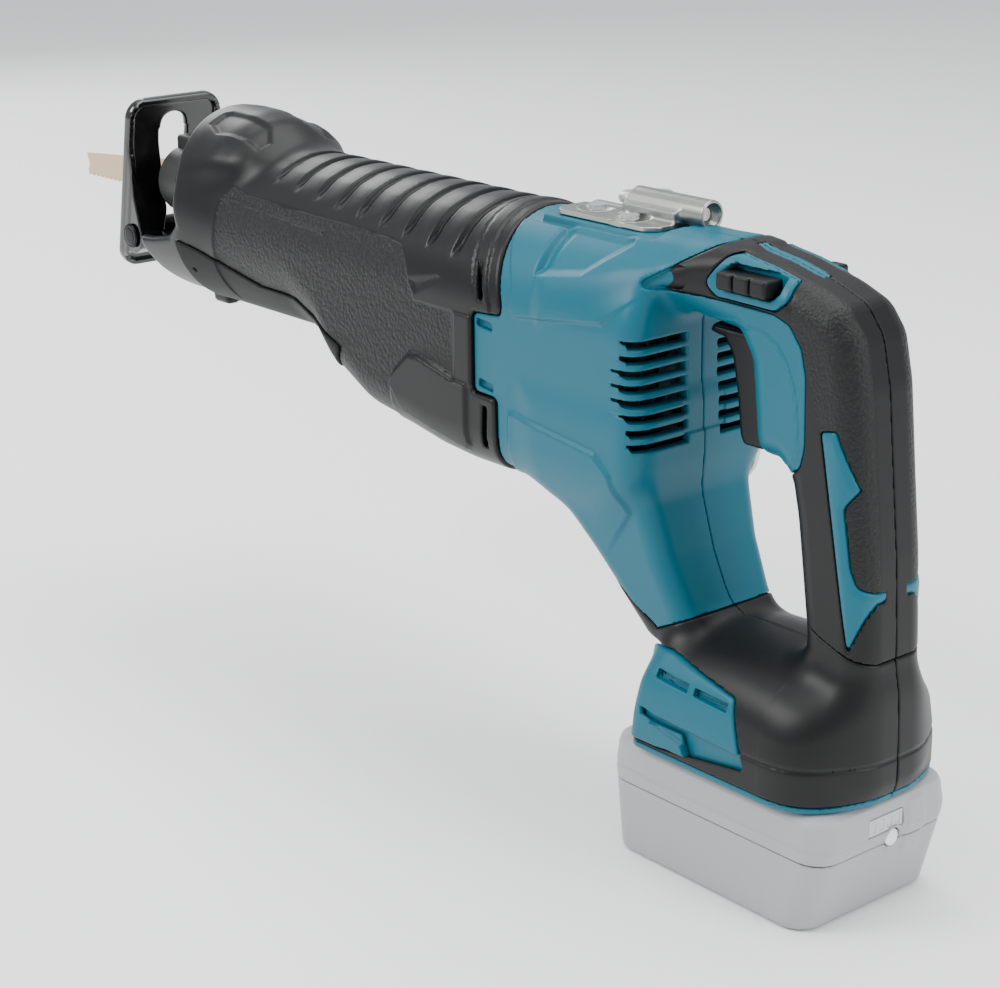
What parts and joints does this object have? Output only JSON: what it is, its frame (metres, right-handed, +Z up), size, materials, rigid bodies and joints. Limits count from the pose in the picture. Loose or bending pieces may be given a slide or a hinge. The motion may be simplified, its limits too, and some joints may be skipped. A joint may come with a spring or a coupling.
{
  "type": "reciprocating saw",
  "caption": "Cordless reciprocating saw with a D-handle, rubber front boot, tilting shoe, clamped blade, folding wire hook and a slide-on battery pack.",
  "frame": {"origin": "on the flat underside of the battery pack, on the tool's middle plane, below the foot of the D-handle", "axes": "+Z up from the bench, the nose and blade point towards -X, the tool's left side faces -Y"},
  "size_m": [0.5575, 0.0917, 0.2593],
  "materials": {
    "boot_rubber": "satin black rubber with a pebbled side panel",
    "black_plastic": "satin black",
    "cast_case": "die cast, as cast",
    "zinc_steel": "zinc plated",
    "bush_bronze": "sintered bronze",
    "seal_rubber": "matt",
    "bearing_steel": "ground",
    "gear_steel": "oiled",
    "core_steel": "laminated",
    "coil_copper": "enamelled copper",
    "black_steel": "black oxide",
    "blade_coating": "tan coating",
    "shoe_enamel": "gloss black",
    "body_plastic": "satin teal",
    "grip_rubber": "fine pebbled charcoal",
    "foot_rubber": "smooth satin black",
    "button_plastic": "satin black",
    "hook_zinc": "zinc plated",
    "pack_plastic": "pale grey",
    "cell_wrap": "shrink wrap",
    "pack_button": "pale grey",
    "gauge_plastic": "light grey",
    "gauge_button": "white"
  },
  "bodies": {
    "tool": {"control_module": "black_plastic", "crank_lower_bearing": "bearing_steel", "crank_upper_bearing": "bearing_steel", "foot_overmould_left": "foot_rubber", "foot_overmould_right": "foot_rubber", "foot_panel_left": "body_plastic", "foot_panel_right": "body_plastic", "front_boot": "boot_rubber", "gear_case": "cast_case", "gear_case_cover": "cast_case", "gear_case_screws": "zinc_steel", "grip_accent_left": "body_plastic", "grip_accent_right": "body_plastic", "grip_overmould_left": "grip_rubber", "grip_overmould_right": "grip_rubber", "hook_bracket": "hook_zinc", "hook_screws": "zinc_steel", "housing_left": "body_plastic", "housing_right": "body_plastic", "housing_screws": "zinc_steel", "lower_cover": "black_plastic", "motor_front_bearing": "bearing_steel", "motor_rear_bearing": "bearing_steel", "plunger_front_bush": "bush_bronze", "plunger_rear_bush": "bush_bronze", "plunger_seal": "seal_rubber", "stator": "core_steel", "stator_coils": "coil_copper", "switch_body": "black_plastic", "terminal_block": "black_plastic", "trigger_pin": "zinc_steel"},
    "rotor": {"motor_shaft": "gear_steel", "motor_pinion": "gear_steel", "rotor_core": "core_steel", "cooling_fan": "black_plastic"},
    "crank": {"crank_gear": "gear_steel", "crank_pin": "gear_steel", "crank_roller": "bearing_steel"},
    "plunger": {"plunger": "gear_steel", "blade_clamp": "black_steel"},
    "clamp_ring": {"clamp_sleeve": "black_steel"},
    "blade": {"blade": "blade_coating"},
    "shoe_bar": {"shoe_arm": "black_steel", "shoe_pin": "black_steel"},
    "shoe": {"shoe": "shoe_enamel"},
    "shoe_lock": {"shoe_lock_button": "black_plastic"},
    "trigger": {"switch_trigger": "black_plastic"},
    "lock_off": {"lock_off_button": "button_plastic"},
    "hook": {"hook_wire": "hook_zinc"},
    "battery": {"pack_lower_case": "pack_plastic", "pack_upper_case": "pack_plastic", "pack_cells": "cell_wrap", "gauge_window": "gauge_plastic"},
    "battery_release": {"pack_release_button": "pack_button"},
    "gauge_check": {"gauge_check_button": "gauge_button"}
  },
  "joints": [
    {"name": "rotor_spin", "type": "hinge", "parent": "tool", "child": "rotor", "pos_m": [-0.1, 0, 0.188], "axis": [1, 0, 0], "continuous": true},
    {"name": "crank_spin", "type": "hinge", "parent": "tool", "child": "crank", "pos_m": [-0.178, 0, 0.179], "axis": [0, 0, 1], "continuous": true},
    {"name": "stroke", "type": "slide", "parent": "tool", "child": "plunger", "axis": [1, 0, 0], "range_m": [0, 0.032]},
    {"name": "clamp_turn", "type": "hinge", "parent": "plunger", "child": "clamp_ring", "pos_m": [-0.4, 0, 0.217], "axis": [1, 0, 0], "range_deg": [0, 75], "stiffness_Nm_per_rad": 0.02},
    {"name": "blade_draw", "type": "slide", "parent": "plunger", "child": "blade", "axis": [-1, 0, 0], "range_m": [0, 0.04]},
    {"name": "shoe_reach", "type": "slide", "parent": "tool", "child": "shoe_bar", "axis": [-1, 0, 0], "range_m": [0, 0.03]},
    {"name": "shoe_tilt", "type": "hinge", "parent": "shoe_bar", "child": "shoe", "pos_m": [-0.413, 0, 0.19], "axis": [0, 1, 0], "range_deg": [-25, 3]},
    {"name": "shoe_lock_press", "type": "slide", "parent": "tool", "child": "shoe_lock", "axis": [0, 0, 1], "range_m": [0, 0.004], "stiffness_N_per_m": 800},
    {"name": "trigger_pull", "type": "hinge", "parent": "tool", "child": "trigger", "pos_m": [-0.001, 0, 0.211], "axis": [0, -1, 0], "range_deg": [0, 7], "stiffness_Nm_per_rad": 1.2},
    {"name": "lock_off_push", "type": "slide", "parent": "tool", "child": "lock_off", "axis": [0, 1, 0], "range_m": [-0.003, 0.003], "stiffness_N_per_m": 300},
    {"name": "hook_swing", "type": "hinge", "parent": "tool", "child": "hook", "pos_m": [-0.09, 0.008, 0.2506], "axis": [1, 0, 0], "range_deg": [0, 150]},
    {"name": "battery_slide", "type": "slide", "parent": "tool", "child": "battery", "axis": [-1, 0, 0], "range_m": [0, 0.12]},
    {"name": "battery_release_press", "type": "slide", "parent": "battery", "child": "battery_release", "axis": [0, 0, -1], "range_m": [0, 0.003], "stiffness_N_per_m": 900},
    {"name": "gauge_press", "type": "slide", "parent": "battery", "child": "gauge_check", "axis": [-1, 0, 0], "range_m": [0, 0.0008], "stiffness_N_per_m": 500}
  ],
  "couplings": [
    {"joint": "crank_spin", "follows": "rotor_spin", "ratio": 0.25}
  ]
}
